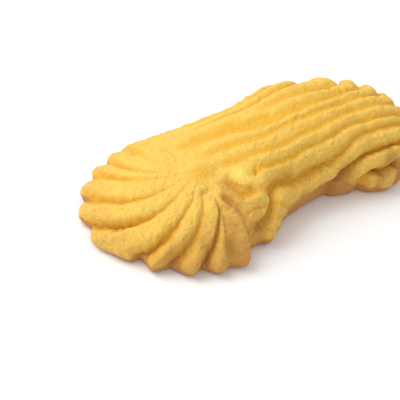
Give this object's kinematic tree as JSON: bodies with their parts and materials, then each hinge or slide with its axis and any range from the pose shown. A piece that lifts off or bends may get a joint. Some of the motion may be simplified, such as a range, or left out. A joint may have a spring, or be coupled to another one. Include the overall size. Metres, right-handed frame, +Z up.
{
  "type": "piped vanilla biscuit",
  "caption": "Baked piped butter biscuit with a swirled rosette at one end and a ridged ribbon that curls down over the other, on a flat base.",
  "frame": {"origin": "middle of the biscuit's outline seen from above, at the level of its flat base", "axes": "+X from the rosette to the far end of the ribbon, +Y across to the back, +Z up from the base"},
  "size_m": [0.0752, 0.0382, 0.0154],
  "materials": {
    "baked_dough": "matte golden crumb, browner at the tips and along the base"
  },
  "bodies": {
    "root": {"biscuit": "baked_dough"}
  },
  "joints": []
}
